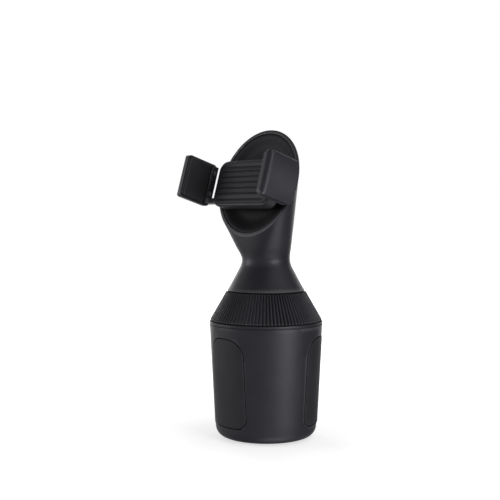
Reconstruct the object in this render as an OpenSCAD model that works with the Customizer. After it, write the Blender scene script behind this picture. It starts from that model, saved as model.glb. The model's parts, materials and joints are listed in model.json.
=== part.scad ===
// Phone mount that stands in a car's cup holder.
// The origin is the centre of the base's underside, the front faces -Y and +Z is up.

/* [Base] */
// Radius of the tapered cup, carried down to the ground
cup_r = 28.75; // [28.5:0.05:29]
// Radius that the cup gains per millimetre of height
cup_taper = 0.0535; // [0.05:0.0005:0.055]
// Height of the cup's upper edge
cup_h = 66.4; // [66:0.1:66.6]
// Wall of the cup
cup_wall = 2.2; // [1.8:0.1:2.4]
// Radius of the cup's rounded lower edge
cup_round = 6; // [5.5:0.5:6.5]

/* [Grip pads] */
// Width of a grip pad, seen from in front of it
pad_w = 26; // [24:0.5:26.5]
// Height of a pad's lower edge
pad_z0 = 8.8; // [8.5:0.1:10]
// Height of a pad's upper edge
pad_z1 = 58.4; // [57:0.1:58.5]
// Corner radius at the top of a pad
pad_round_top = 10; // [8:0.5:11]
// Corner radius at the bottom of a pad
pad_round_low = 6; // [4:0.5:8]
// How far a pad stands proud of the cup at rest
pad_proud = 0.6; // [0.4:0.1:0.8]
// How far the pads travel outwards
pad_travel = 6; // [4:0.5:6]

/* [Dial] */
// Turn of the dial that moves the pads from in to out, in degrees
dial_turn = 100; // [90:5:100]
// Radius of the dial's lower edge
dial_r0 = 32.2; // [32:0.1:32.4]
// Radius of the dial's upper edge
dial_r1 = 22.9; // [22.6:0.1:23]
// Height of the dial's lower edge
dial_z0 = 66.9; // [66.8:0.1:67.2]
// Height of the dial's upper edge
dial_z1 = 83; // [82.6:0.1:83]
// Number of grip ribs around the dial
dial_ribs = 96; // [60:6:108]

/* [Neck and head] */
// Radius of the neck where it meets the dial
neck_r = 22; // [21.6:0.1:22.2]
// Radius of the neck at its waist
waist_r = 13.7; // [13.4:0.1:13.9]
// Height of the waist
waist_z = 102; // [101:0.5:103]
// Radius of the round head
head_r = 31.5; // [31:0.1:32]
// Height of the head's centre
head_z = 145; // [144:0.5:146]
// How far the head's centre lies in front of the base's axis
head_front = 7; // [6:0.5:8]
// How far the head leans back, in degrees
head_lean = 16.5; // [14:0.5:18]

/* [Cradle and jaws] */
// Width between the jaws at rest
grip_w = 60; // [59:0.5:61]
// Height of a jaw
jaw_h = 25; // [24:0.5:26]
// Drop of the jaws' centre line below the head's centre
jaw_drop = 3; // [3:0.1:3.2]
// How far the jaws' front edges stand in front of the head's rim
jaw_front = 27.1; // [26:0.1:28]
// Width of the cradle housing
cradle_w = 48; // [47:0.5:48]
// Height of the cradle housing
cradle_h = 27; // [26.6:0.1:27.4]

/* [Hidden] */

$fn = 96;
eps = 0.01;

// Angles of the three pads around the base, front first, and of the screws between them;
// the base stands turned a little against the head
base_turn = -1;
front_pad_angle = base_turn - 90;
right_pad_angle = base_turn + 30;
left_pad_angle = base_turn + 150;
pad_angles = [front_pad_angle, right_pad_angle, left_pad_angle];
screw_angles = [for (a = pad_angles) a + 60];

// Heights inside the base
foot_h = 0.6;
floor_z = 4.2;
ledge_z = 2.4;
deck_z0 = 59;
deck_z1 = 60.6;
deck_r = 29.5;
core_plate_z = 6.2;
core_tube_r = 7;
core_boss_r = 8;

// Pad carriers: depth, stems and the pins that ride in the scroll plate
pad_gap = 0.4;
pad_skin = 1.2;
carrier_back = 20;
carrier_wall = 2.4;
stem_w = 8;
stem_h = 5;
stem_r0 = 9;
low_stem_z = 15;
high_stem_z = 52.7;
sleeve_gap = 0.2;
sleeve_wall = 1.6;
pin_r = 1.6;
pin_at = 17.5;
pin_top = 62.6;
slot_gap = 0.15;
scroll_rate = pad_travel / dial_turn;

// Dial and scroll plate
scroll_z0 = 60.8;
scroll_z1 = 62.8;
scroll_r = 28.4;
skirt_r = 29.3;
journal_r = 12;
journal_gap = 0.08;
hub_r = 17;
dial_screw_at = 14.6;
dial_screw_lag = 104;
rib_rise = 0.9;
sleeve_t = 2.2;

// Head: depths are measured behind the rim plane, forward ones are negative
head_t = 1.2;
head_wall = 2.0;
dish_floor = 2.8;
dish_t = 1.2;
pin_head_r = 2.2;
tilt_y = 5.5;
tilt_pin_r = 1.75;
block_r = 4.2;
block_half = 8;
ear_in = 8.7;
ear_t = 2.8;
head_screw_x = 13.5;
head_screw_z = 9.5;
head_screw_end = 7;

// Cradle layers, front to back
pad_front_y = -10.5;
cover_front_y = -9.6;
cavity_front_y = -8.4;
cavity_back_y = -5.0;
cradle_back_y = -3.4;
boss_back_y = 0.8;
boss_r = 9.8;
spindle_r = 4.5;
spindle_end_y = -2.9;
seat_y = -2.4;
seat_r = 7.2;
cradle_wall = 1.8;
cradle_round = 6;
post_x = 12.6;
post_z = 2.8;
post_r = 2.3;

// Rack and pinion
gear_module = 0.8;
gear_teeth = 18;
gear_pitch_r = gear_module * gear_teeth / 2;
gear_backlash = 0.12;
gear_bore = 3.08;
gear_axle_r = 3;
rack_back = 3;
rack_root = 1.25 * gear_module;

// Jaws
jaw_rear_y = -5;
jaw_edge_r = 1.9;
jaw_inner = grip_w / 2 + 2.25;
jaw_outer = grip_w / 2 + 6.6;
jaw_bow = 2.6;
jaw_flare = 2.5;
plate_x0 = grip_w / 2 + 0.25;
plate_x1 = jaw_inner;
plate_y0 = -9.6;

function cup_radius(z) = cup_r + cup_taper * z;
function arc_points(cx, cy, r, a0, a1, n) =
    [for (i = [0:n]) [cx + r * cos(a0 + (a1 - a0) * i / n), cy + r * sin(a0 + (a1 - a0) * i / n)]];

// Places a shape made about the head's rim plane, whose centre is the origin there
module at_head() {
    translate([0, -head_front, head_z]) rotate([-head_lean, 0, 0]) children();
}

// A disc or bar along the head's axis, from y0 to y1
module along_y(r, y0, y1) {
    translate([0, y1, 0]) rotate([90, 0, 0]) cylinder(r = r, h = y1 - y0);
}

// A rounded rectangle with its own corner radius at the top and at the bottom
module rounded_outline(w, z0, z1, r_low, r_top) {
    translate([-w / 2, z0 + r_low]) square([w, z1 - z0 - r_low - r_top]);
    translate([-w / 2 + r_low, z0]) square([w - 2 * r_low, r_low + eps]);
    translate([-w / 2 + r_top, z1 - r_top - eps]) square([w - 2 * r_top, r_top + eps]);
    for (s = [-1, 1]) {
        translate([s * (w / 2 - r_low), z0 + r_low]) circle(r = r_low);
        translate([s * (w / 2 - r_top), z1 - r_top]) circle(r = r_top);
    }
}

// A pan-head screw standing on its tip, with its head's underside at the origin
module pan_screw(r, len, head_r, head_h) {
    translate([0, 0, -len]) cylinder(r = r, h = len);
    difference() {
        cylinder(r = head_r, h = head_h);
        for (a = [0, 90]) {
            rotate(a) translate([-head_r * 0.6, -0.25, head_h * 0.5]) cube([head_r * 1.2, 0.5, head_h]);
        }
    }
}

// ---- Base ----

// Solid outline of the cup, grown by d
module cup_solid(d = 0) {
    rotate_extrude() polygon(concat(
        [[0, foot_h]],
        arc_points(cup_radius(foot_h) + d - cup_round, foot_h + cup_round, cup_round, -90, 0, 12),
        [[cup_radius(cup_h) + d, cup_h], [0, cup_h]]));
}

// The prism that a pad slides in, grown by g all round
module pad_prism(angle, g, from_r, to_r) {
    rotate(angle + 90) translate([0, -from_r, 0]) rotate([90, 0, 0])
        linear_extrude(height = to_r - from_r)
        rounded_outline(pad_w + 2 * g, pad_z0 - g, pad_z1 + g, pad_round_low + g, pad_round_top + g);
}

module base_cup() {
    color("#26262a") difference() {
        cup_solid();
        translate([0, 0, floor_z]) cylinder(
            r1 = cup_radius(floor_z) - cup_wall - 2.4, r2 = cup_radius(floor_z + 4) - cup_wall, h = 4);
        translate([0, 0, floor_z + 4 - eps]) cylinder(
            r1 = cup_radius(floor_z + 4) - cup_wall, r2 = cup_radius(cup_h) - cup_wall,
            h = cup_h - floor_z - 4 + 2 * eps);
        cylinder(r = 19.5, h = floor_z + 1);
        cylinder(r = 22.4, h = ledge_z);
        for (a = pad_angles) pad_prism(a, pad_gap, carrier_back, dial_r0 + 4);
        translate([0, 0, 64.6]) difference() {
            cylinder(r = dial_r0 + 2, h = 0.4);
            cylinder(r = cup_radius(64.6) - 0.35, h = 0.4);
        }
    }
}

module bottom_cover() {
    color("#1d1d20") difference() {
        translate([0, 0, foot_h]) cylinder(r = 22.3, h = ledge_z - foot_h);
        translate([0, 0, -eps]) difference() {
            cylinder(r = 20.6, h = foot_h + 0.8);
            cylinder(r = 12.9, h = foot_h + 0.8);
        }
        for (a = screw_angles) rotate(a) translate([core_boss_r, 0, 0]) {
            cylinder(r = 1.3, h = 4);
            cylinder(r = 2.5, h = 1.5);
        }
    }
}

module foot_pad() {
    color("#151516") difference() {
        cylinder(r = 20.5, h = foot_h + 0.78);
        translate([0, 0, -1]) cylinder(r = 13, h = 4);
        for (r = [15, 17, 19]) translate([0, 0, -eps]) difference() {
            cylinder(r = r + 0.3, h = 0.3);
            cylinder(r = r - 0.3, h = 0.3);
        }
    }
}

module cover_screws() {
    color("#a8abb0") for (a = screw_angles) rotate(a) translate([core_boss_r, 0, 1.5])
        mirror([0, 0, 1]) pan_screw(0.95, 8.4, 2.3, 0.8);
}

// Sleeve that guides one stem of a carrier, and the channel through it
module stem_sleeve(angle, z) {
    rotate(angle) translate([core_tube_r - 2, -stem_w / 2 - sleeve_wall, z - sleeve_wall])
        cube([carrier_back - 0.3 - core_tube_r + 2, stem_w + 2 * sleeve_wall, stem_h + 2 * sleeve_wall]);
}

module stem_channel(angle, z) {
    rotate(angle) translate([core_tube_r + 0.8, -stem_w / 2 - sleeve_gap, z - sleeve_gap])
        cube([carrier_back, stem_w + 2 * sleeve_gap, stem_h + 2 * sleeve_gap]);
}

module core_frame() {
    color("#3a3b3f") difference() {
        union() {
            translate([0, 0, floor_z]) cylinder(r = 24, h = core_plate_z - floor_z);
            translate([0, 0, floor_z]) cylinder(r = core_tube_r, h = deck_z0 + 0.8 - floor_z);
            translate([0, 0, deck_z0]) cylinder(r = deck_r, h = deck_z1 - deck_z0);
            for (a = pad_angles) {
                stem_sleeve(a, low_stem_z);
                stem_sleeve(a, high_stem_z);
                rotate(a) translate([0, -1.2, floor_z]) cube([core_tube_r + 4, 2.4, deck_z0 + 0.5 - floor_z]);
            }
            for (a = screw_angles) rotate(a) translate([core_boss_r, 0, ledge_z])
                cylinder(r = 2.8, h = 12);
        }
        translate([0, 0, core_plate_z]) cylinder(r = 4.2, h = deck_z1);
        for (a = pad_angles) {
            stem_channel(a, low_stem_z);
            stem_channel(a, high_stem_z);
            rotate(a) translate([pin_at - pin_r - 0.6, -pin_r - 0.25, high_stem_z])
                cube([pad_travel + 2 * pin_r + 1.2, 2 * pin_r + 0.5, 20]);
        }
        for (a = screw_angles) rotate(a) {
            translate([core_boss_r, 0, ledge_z - 1]) cylinder(r = 0.95, h = 9);
            translate([10.7, 0, deck_z0 - 1]) cylinder(r = 1.2, h = 4);
        }
    }
}

// ---- Neck and head ----

module neck_core() {
    color("#3a3b3f") difference() {
        translate([0, 0, deck_z1]) cylinder(r = journal_r, h = 35.4);
        translate([0, 0, deck_z1 - 1]) cylinder(r = 9.3, h = 40);
        for (a = screw_angles) rotate(a) translate([10.7, 0, deck_z1 - 1]) cylinder(r = 0.95, h = 11);
    }
}

module neck_screws() {
    color("#a8abb0") for (a = screw_angles) rotate(a) translate([10.7, 0, deck_z0])
        mirror([0, 0, 1]) pan_screw(0.95, 9, 1.9, 1.3);
}

// Trumpet from the waist to the round head's disc, inset all round
module trumpet(inset, front, back) {
    hull() {
        translate([0, 0, waist_z - 0.2]) cylinder(r = waist_r - inset, h = 0.2, $fn = 72);
        at_head() translate([0, back, 0]) rotate([90, 0, 0])
            cylinder(r = head_r - inset, h = back - front, $fn = 96);
    }
}

module neck_shell() {
    blend_r = 11;
    cone_z = 83.6;
    lean = 28;
    color("#2b2b30") difference() {
        union() {
            rotate_extrude() polygon(concat(
                [[0, cone_z], [neck_r, cone_z]],
                arc_points(waist_r + blend_r, waist_z, blend_r, 180 + lean, 180, 8),
                [[0, waist_z]]));
            trumpet(0, 0, head_t);
        }
        trumpet(head_wall + 0.3, 0.7, head_t);
        at_head() along_y(head_r - head_wall, -1, 1.3);
        translate([0, 0, cone_z - 1]) cylinder(r = journal_r + 0.05, h = 96 - cone_z + 1);
        translate([0, 0, 90]) cylinder(r = waist_r - head_wall, h = 12.2);
        translate([0, 0, cone_z - 1]) difference() {
            cylinder(r1 = 19.9, r2 = 13.6, h = 10);
            cylinder(r = 13.6, h = 10);
        }
    }
    color("#2b2b30") difference() {
        intersection() {
            trumpet(0.5, 0, head_t);
            at_head() for (sx = [-1, 1], sz = [-1, 1])
                translate([sx * head_screw_x, 0, sz * head_screw_z]) along_y(2.6, dish_floor + dish_t, 20);
        }
        at_head() for (sx = [-1, 1], sz = [-1, 1])
            translate([sx * head_screw_x, 0, sz * head_screw_z]) along_y(0.95, 0, head_screw_end + 0.2);
    }
}

module head_dish() {
    color("#111113") at_head() difference() {
        union() {
            rotate([90, 0, 0]) mirror([0, 0, 1]) rotate_extrude() polygon([
                [0, dish_floor], [20, dish_floor], [24, 2.1], [27.6, 0.5], [28.2, 0.4], [29.4, 0.4],
                [29.4, 1.2], [28.6, 1.3], [25.5, 2.6], [20.5, dish_floor + dish_t], [0, dish_floor + dish_t]]);
            for (s = [-1, 1]) translate([s * (ear_in + ear_t / 2), 0, 0]) {
                translate([-ear_t / 2, tilt_y, 0]) rotate([0, 90, 0]) cylinder(r = 4.2, h = ear_t);
            }
        }
        translate([-ear_in, -10, -7.2]) cube([2 * ear_in, 30, 14.4]);
        translate([-20, tilt_y, 0]) rotate([0, 90, 0]) cylinder(r = tilt_pin_r + 0.02, h = 40);
        for (s = [-1, 1]) translate([s * (ear_in + ear_t), tilt_y, 0]) rotate([0, s * 90, 0])
            cylinder(r = pin_head_r + 0.15, h = 1.2);
        for (sx = [-1, 1], sz = [-1, 1])
            translate([sx * head_screw_x, 0, sz * head_screw_z]) along_y(1.2, 0, 9);
    }
}

module head_screws() {
    color("#55575c") at_head() for (sx = [-1, 1], sz = [-1, 1])
        translate([sx * head_screw_x, dish_floor, sz * head_screw_z])
        rotate([90, 0, 0]) pan_screw(0.95, head_screw_end - dish_floor, 2, 1.2);
}

module tilt_pin() {
    color("#a8abb0") at_head() translate([0, tilt_y, 0]) rotate([0, 90, 0]) {
        translate([0, 0, -11.9]) cylinder(r = tilt_pin_r, h = 23.8);
        for (z = [-12.3, ear_in + ear_t + 0.01]) translate([0, 0, z]) cylinder(r = pin_head_r, h = 0.79);
    }
}

module tilt_washers() {
    color("#c9a24b") at_head() for (x = [-ear_in + 0.02, block_half + 0.04])
        translate([x, tilt_y, 0]) rotate([0, 90, 0]) difference() {
            cylinder(r = 3.9, h = ear_in - block_half - 0.06);
            translate([0, 0, -1]) cylinder(r = tilt_pin_r + 0.03, h = 3);
        }
}

// ---- Dial ----

// Star outline of the ribbed dial at its lower edge
function rib_outline(r, n, rise) =
    [for (i = [0:n - 1], k = [0:3])
        let (t = (i + [0, 0.25, 0.5, 0.75][k]) * 360 / n, d = [rise, rise * 0.75, 0, rise * 0.75][k])
        [(r - rise + d) * cos(t), (r - rise + d) * sin(t)]];

module dial_grip() {
    rise = dial_z1 - dial_z0;
    color("#202024") difference() {
        union() {
            translate([0, 0, dial_z0]) linear_extrude(height = rise, scale = dial_r1 / dial_r0)
                polygon(rib_outline(dial_r0, dial_ribs, rib_rise));
            translate([0, 0, scroll_z1 + 0.6]) cylinder(r = skirt_r, h = dial_z0 - scroll_z1 - 0.6 + eps);
        }
        translate([0, 0, scroll_z1]) cylinder(r = skirt_r - 2, h = dial_z0 - scroll_z1 + 1.2);
        translate([0, 0, dial_z0 + 1.19]) cylinder(
            r1 = skirt_r - 2, r2 = dial_r1 - rib_rise - sleeve_t, h = rise - 3.2 - 1.19);
        translate([0, 0, dial_z1 - 3]) cylinder(r = hub_r + 0.02, h = 4);
        translate([0, 0, dial_z1 - 4]) cylinder(r = hub_r + 0.02, h = 2);
    }
}

module dial_hub() {
    color("#3a3b3f") difference() {
        union() {
            translate([0, 0, scroll_z1]) cylinder(r = hub_r, h = dial_z1 - scroll_z1 - 0.2);
            translate([0, 0, dial_z1 - 6.2]) cylinder(r = 18.6, h = 2.8);
        }
        translate([0, 0, scroll_z1 - 1]) cylinder(r = journal_r + journal_gap, h = 30);
        for (a = pad_angles) rotate(a - dial_screw_lag) translate([dial_screw_at, 0, scroll_z1 - 1])
            cylinder(r = 0.95, h = 9);
    }
}

// A spiral slot that drives one pad's pin outwards as the dial turns
module spiral_slot(angle) {
    half = pin_r + slot_gap;
    steps = 30;
    function r_at(k) = pin_at + scroll_rate * dial_turn * k;
    function point_at(k, d) = [(r_at(k) + d) * cos(angle - dial_turn * k),
        (r_at(k) + d) * sin(angle - dial_turn * k)];
    polygon(concat(
        [for (i = [0:steps]) point_at(i / steps, half)],
        [for (i = [steps:-1:0]) point_at(i / steps, -half)]));
    for (k = [0, 1]) translate(point_at(k, 0)) circle(r = half);
}

module scroll_plate() {
    color("#8e9298") difference() {
        translate([0, 0, scroll_z0]) cylinder(r = scroll_r, h = scroll_z1 - scroll_z0);
        translate([0, 0, scroll_z0 - 1]) cylinder(r = journal_r + 0.3, h = 5);
        translate([0, 0, scroll_z0 - 1]) linear_extrude(height = 4) for (a = pad_angles) spiral_slot(a);
        for (a = pad_angles) rotate(a - dial_screw_lag) translate([dial_screw_at, 0, scroll_z0 - eps]) {
            cylinder(r = 1.2, h = 4);
            cylinder(r1 = 2.1, r2 = 1.2, h = 1);
        }
    }
}

module dial_screws() {
    color("#a8abb0") for (a = pad_angles) rotate(a - dial_screw_lag) translate([dial_screw_at, 0, scroll_z0]) {
        cylinder(r = 0.95, h = 9);
        cylinder(r1 = 2.0, r2 = 1.05, h = 1);
    }
}

// ---- Pads ----

module pad_carrier(angle) {
    color("#3a3b3f") difference() {
        union() {
            difference() {
                intersection() {
                    pad_prism(angle, 0, carrier_back, dial_r0 + 6);
                    cup_solid(pad_proud - pad_skin);
                }
                intersection() {
                    pad_prism(angle, -carrier_wall, carrier_back - 1, dial_r0 + 6);
                    cup_solid(pad_proud - pad_skin - carrier_wall);
                }
            }
            for (z = [low_stem_z, high_stem_z]) rotate(angle)
                translate([stem_r0, -stem_w / 2, z]) cube([cup_r - stem_r0 - 2, stem_w, stem_h]);
        }
        rotate(angle) translate([pin_at, 0, high_stem_z + 1]) cylinder(r = pin_r + 0.01, h = 10);
    }
}

module grip_pad(angle) {
    color("#1b1b1d") difference() {
        intersection() {
            pad_prism(angle, 0, carrier_back, dial_r0 + 6);
            cup_solid(pad_proud);
        }
        cup_solid(pad_proud - pad_skin);
    }
}

module pad_pin(angle) {
    color("#c4c7cc") rotate(angle) translate([pin_at, 0, high_stem_z + 1])
        cylinder(r = pin_r, h = pin_top - high_stem_z - 1);
}

module front_pad_carrier() { pad_carrier(front_pad_angle); }
module right_pad_carrier() { pad_carrier(right_pad_angle); }
module left_pad_carrier() { pad_carrier(left_pad_angle); }
module front_grip_pad() { grip_pad(front_pad_angle); }
module right_grip_pad() { grip_pad(right_pad_angle); }
module left_grip_pad() { grip_pad(left_pad_angle); }
module front_pad_pin() { pad_pin(front_pad_angle); }
module right_pad_pin() { pad_pin(right_pad_angle); }
module left_pad_pin() { pad_pin(left_pad_angle); }

// ---- Tilt block and cradle ----

module tilt_block() {
    color("#3a3b3f") at_head() difference() {
        union() {
            translate([-block_half, tilt_y, 0]) rotate([0, 90, 0]) cylinder(r = block_r, h = 2 * block_half);
            along_y(6.2, 1.0, tilt_y);
            along_y(spindle_r, spindle_end_y, 1.2);
        }
        translate([-10, tilt_y, 0]) rotate([0, 90, 0]) cylinder(r = tilt_pin_r + 0.07, h = 20);
        along_y(1.25, -4, 3.2);
    }
}

module wave_washer() {
    color("#b9bcc1") at_head() difference() {
        along_y(6.9, spindle_end_y, seat_y - 0.05);
        along_y(spindle_r + 0.15, -4, 0);
    }
}

module retaining_washer() {
    color("#a8abb0") at_head() difference() {
        along_y(6.9, spindle_end_y - 0.6, spindle_end_y);
        along_y(1.3, -5, 0);
    }
}

module spindle_screw() {
    color("#a8abb0") at_head() translate([0, spindle_end_y - 0.6, 0]) rotate([90, 0, 0])
        pan_screw(1.25, 6.2, 3, 1.2);
}

// Rounded outline of the cradle, inset all round, extruded from y0 to y1
module cradle_slab(inset, y0, y1, r) {
    translate([0, y1, 0]) rotate([90, 0, 0]) linear_extrude(height = y1 - y0)
        rounded_outline(cradle_w - 2 * inset, -jaw_drop - cradle_h / 2 + inset,
            -jaw_drop + cradle_h / 2 - inset, r, r);
}

module at_posts() {
    for (sx = [-1, 1], sz = [-1, 1]) translate([sx * post_x, 0, -jaw_drop + sz * post_z]) children();
}

module cradle_back() {
    color("#1c1c1f") at_head() difference() {
        union() {
            cradle_slab(0, cavity_back_y, cradle_back_y, cradle_round);
            along_y(boss_r, cradle_back_y - 1, boss_back_y);
        }
        along_y(spindle_r + 0.05, -10, 5);
        along_y(seat_r, -10, seat_y);
        at_posts() {
            along_y(1.2, -10, 0);
            along_y(2.1, -4.2, 0);
        }
    }
}

// Room for a rack bar to run through the cradle, upper for side 1 and lower for side -1
module bar_slot(side) {
    z = side * (gear_pitch_r + rack_root + rack_back / 2) - jaw_drop;
    translate([side * cradle_w / 2, (cavity_front_y + cavity_back_y) / 2, z - side * 0.9])
        cube([8, cavity_back_y - cavity_front_y, rack_back + 2.2], center = true);
}

module cradle_front() {
    color("#1c1c1f") at_head() difference() {
        union() {
            difference() {
                cradle_slab(0, cover_front_y, cavity_back_y, cradle_round);
                cradle_slab(cradle_wall, cavity_front_y, cavity_back_y + 1, cradle_round - cradle_wall);
            }
            at_posts() along_y(post_r, cavity_front_y - 0.1, cavity_back_y);
            translate([0, 0, -jaw_drop]) along_y(gear_axle_r, cavity_front_y - 0.1, cavity_back_y - 0.2);
        }
        for (s = [-1, 1]) bar_slot(s);
        at_posts() along_y(0.95, cavity_front_y - 0.2, 0);
    }
}

module face_pad() {
    color("#161617") at_head() difference() {
        cradle_slab(1.5, pad_front_y, cover_front_y, cradle_round - 1.5);
        for (i = [-3:3]) translate([-cradle_w / 2 + 4, pad_front_y - 0.7, -jaw_drop + i * 3.2 - 0.4])
            cube([cradle_w - 8, 1, 0.8]);
    }
}

module cradle_screws() {
    color("#a8abb0") at_head() at_posts() translate([0, -4.2, 0]) rotate([-90, 0, 0])
        pan_screw(0.95, 3.8, 1.9, 0.75);
}

// ---- Rack and pinion ----

function involute_point(rb, t) = [rb * (cos(t) + t * PI / 180 * sin(t)), rb * (sin(t) - t * PI / 180 * cos(t))];
function turned(p, a) = [p[0] * cos(a) - p[1] * sin(a), p[0] * sin(a) + p[1] * cos(a)];
function mirrored(p) = [p[0], -p[1]];

// One tooth on the +X side, from its root circle to its tip
module gear_tooth(m, n, backlash) {
    pitch = m * n / 2;
    base = pitch * cos(20);
    tip = pitch + m;
    t_pitch = sqrt(pow(pitch / base, 2) - 1) * 180 / PI;
    t_tip = sqrt(pow(tip / base, 2) - 1) * 180 / PI;
    pp = involute_point(base, t_pitch);
    half = 90 / n - backlash / 2 / pitch * 180 / PI + atan2(pp[1], pp[0]);
    flank = [for (i = [0:6]) turned(involute_point(base, t_tip * i / 6), -half)];
    polygon(concat([[base - 1.2 * m, -base * sin(half) * 0.9]], flank,
        [for (i = [6:-1:0]) mirrored(flank[i])], [[base - 1.2 * m, base * sin(half) * 0.9]]));
}

module pinion_gear() {
    color("#d8d6cc") at_head() translate([0, cavity_back_y - 0.3, -jaw_drop]) rotate([90, 0, 0])
        difference() {
            linear_extrude(height = 2.7) {
                circle(r = gear_pitch_r - 1.25 * gear_module);
                for (i = [0:gear_teeth - 1]) rotate(90 + i * 360 / gear_teeth)
                    gear_tooth(gear_module, gear_teeth, gear_backlash);
            }
            translate([0, 0, -1]) cylinder(r = gear_bore, h = 5);
        }
}

module brake_washer() {
    color("#b9bcc1") at_head() translate([0, 0, -jaw_drop]) difference() {
        along_y(4.9, cavity_front_y + 0.02, cavity_front_y + 0.36);
        along_y(gear_axle_r + 0.05, -10, 0);
    }
}

// Rack bar with its end plate, for the right jaw; teeth face down towards the pinion
module rack_bar() {
    pitch = PI * gear_module;
    tail = -15;
    tooth_last = 3;
    y0 = cavity_front_y + 0.1;
    thick = cavity_back_y - cavity_front_y - 0.2;
    half_tip = pitch / 4 - gear_module * tan(20) - gear_backlash / 4;
    half_root = pitch / 4 + rack_root * tan(20) - gear_backlash / 4;
    translate([0, y0 + thick, -jaw_drop + gear_pitch_r]) rotate([90, 0, 0]) linear_extrude(height = thick) {
        translate([tail, rack_root]) square([plate_x1 - tail, rack_back]);
        for (i = [-6:tooth_last]) translate([(i + 0.5) * pitch, 0]) polygon([
            [-half_root, rack_root + eps], [-half_tip, -gear_module],
            [half_tip, -gear_module], [half_root, rack_root + eps]]);
    }
}

module jaw_rack_solid() {
    difference() {
        union() {
            rack_bar();
            translate([plate_x0, plate_y0, -jaw_drop - jaw_h / 2 + 1.3])
                cube([plate_x1 - plate_x0, -plate_y0 + jaw_rear_y - 0.2, jaw_h - 2.6]);
        }
        at_jaw_screws() {
            translate([-1, 0, 0]) rotate([0, 90, 0]) cylinder(r = 1.15, h = 5);
            translate([-1, 0, 0]) rotate([0, 90, 0]) cylinder(r = 1.9, h = 1.9);
        }
    }
}

module at_jaw_screws() {
    for (s = [-1, 1]) translate([plate_x0, -7.4, -jaw_drop + s * 6.4 - 1]) children();
}

// ---- Jaws ----

// Seen from above: flat inner side, rounded front edge and an outer side that flares to the rear
module jaw_section() {
    corner = [jaw_outer - jaw_edge_r, -jaw_front + jaw_edge_r];
    polygon(concat(
        [[jaw_inner, jaw_rear_y], [jaw_inner, -jaw_front]],
        arc_points(corner[0], corner[1], jaw_edge_r, -90, -6, 8),
        [[jaw_outer + jaw_flare, jaw_rear_y]]));
}

module jaw_shell_solid() {
    crown_r = (jaw_h * jaw_h / 4 + jaw_bow * jaw_bow) / (2 * jaw_bow);
    depth = jaw_front + jaw_rear_y;
    difference() {
        intersection() {
            translate([0, 0, -50]) linear_extrude(height = 100) jaw_section();
            translate([jaw_inner - 1, -jaw_front + depth / 2, 0]) rotate([0, 90, 0]) rotate(90)
                linear_extrude(height = 20)
                rounded_outline(depth, jaw_drop - jaw_h / 2, jaw_drop + jaw_h / 2, 2.4, 2.4);
            translate([jaw_outer + jaw_flare - crown_r, 0, -jaw_drop]) along_y(crown_r, -50, 0);
        }
        at_jaw_screws() rotate([0, 90, 0]) cylinder(r = 0.95, h = 5);
    }
}

module jaw_liner_solid() {
    x0 = grip_w / 2;
    x1 = jaw_inner;
    y0 = -jaw_front + 0.5;
    y1 = plate_y0 - 0.1;
    edge = 1.5;
    intersection() {
        translate([0, 0, -50]) linear_extrude(height = 100) polygon(concat(
            [[x1, y0]], arc_points(x0 + edge, y0 + edge, edge, -90, -180, 8), [[x0, y1], [x1, y1]]));
        translate([x0 - 1, (y0 + y1) / 2, 0]) rotate([0, 90, 0]) rotate(90) linear_extrude(height = 5)
            rounded_outline(y1 - y0, jaw_drop - jaw_h / 2 + 1, jaw_drop + jaw_h / 2 - 1, 2, 2);
    }
}

module jaw_screws_solid() {
    at_jaw_screws() translate([0.9, 0, 0]) rotate([0, -90, 0]) pan_screw(0.95, 3.4, 1.7, 0.7);
}

// The left jaw is the right one turned half round the pinion
module left_side() {
    translate([0, 0, -2 * jaw_drop]) rotate([0, 180, 0]) children();
}

module right_jaw() { color("#303035") at_head() jaw_shell_solid(); }
module right_jaw_rack() { color("#8e9298") at_head() jaw_rack_solid(); }
module right_jaw_liner() { color("#18181a") at_head() jaw_liner_solid(); }
module right_jaw_screws() { color("#a8abb0") at_head() jaw_screws_solid(); }
module left_jaw() { color("#303035") at_head() left_side() jaw_shell_solid(); }
module left_jaw_rack() { color("#8e9298") at_head() left_side() jaw_rack_solid(); }
module left_jaw_liner() { color("#18181a") at_head() left_side() jaw_liner_solid(); }
module left_jaw_screws() { color("#a8abb0") at_head() left_side() jaw_screws_solid(); }

base_cup();
bottom_cover();
foot_pad();
cover_screws();
core_frame();
neck_core();
neck_screws();
neck_shell();
head_dish();
head_screws();
tilt_pin();
tilt_washers();
dial_grip();
dial_hub();
scroll_plate();
dial_screws();
front_pad_carrier();
front_grip_pad();
front_pad_pin();
right_pad_carrier();
right_grip_pad();
right_pad_pin();
left_pad_carrier();
left_grip_pad();
left_pad_pin();
tilt_block();
wave_washer();
retaining_washer();
spindle_screw();
cradle_back();
cradle_front();
face_pad();
cradle_screws();
pinion_gear();
brake_washer();
right_jaw();
right_jaw_rack();
right_jaw_liner();
right_jaw_screws();
left_jaw();
left_jaw_rack();
left_jaw_liner();
left_jaw_screws();
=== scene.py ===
import json
import math

import bmesh
import bpy
from mathutils import Matrix, Vector


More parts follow.
